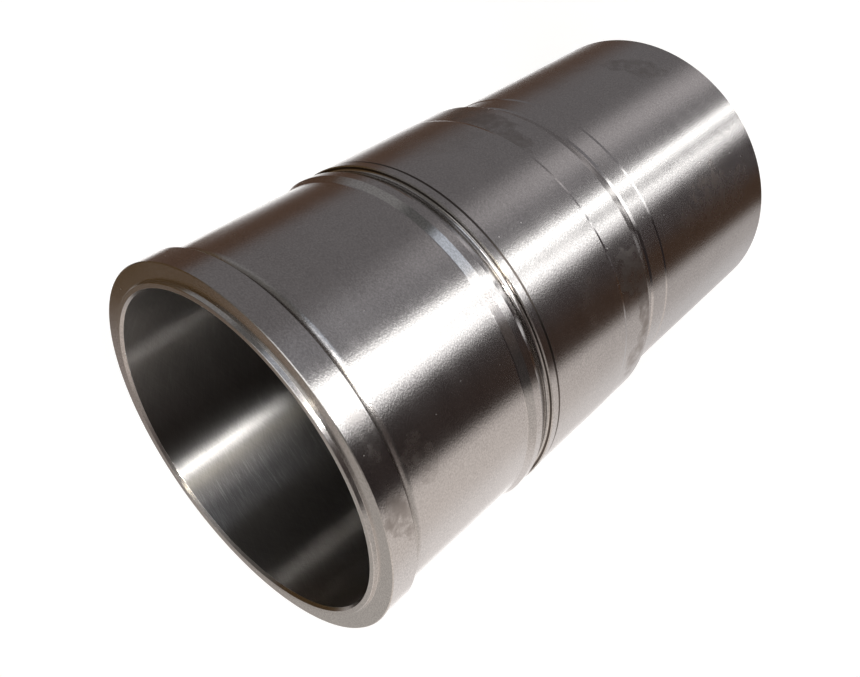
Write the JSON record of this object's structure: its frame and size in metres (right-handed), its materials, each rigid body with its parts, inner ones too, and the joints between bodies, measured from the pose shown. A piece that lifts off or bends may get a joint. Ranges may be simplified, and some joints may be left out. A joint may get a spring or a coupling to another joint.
{
  "type": "cylinder liner",
  "caption": "Flanged wet cylinder liner that lines one bore of a heavy diesel engine and guides its piston, cooled on the outside and sealed by two lands.",
  "frame": {"origin": "on the bore axis, in the plane of the lower end it stands on", "axes": "+Z along the bore axis, from the lower end up to the flange; X and Y are any two directions across the bore"},
  "size_m": [0.147, 0.147, 0.254],
  "materials": {
    "machined_iron": "fine turned and ground outside, honed bore, bare bright metal with light wash stains"
  },
  "bodies": {
    "root": {"cylinder_liner": "machined_iron"}
  },
  "joints": []
}
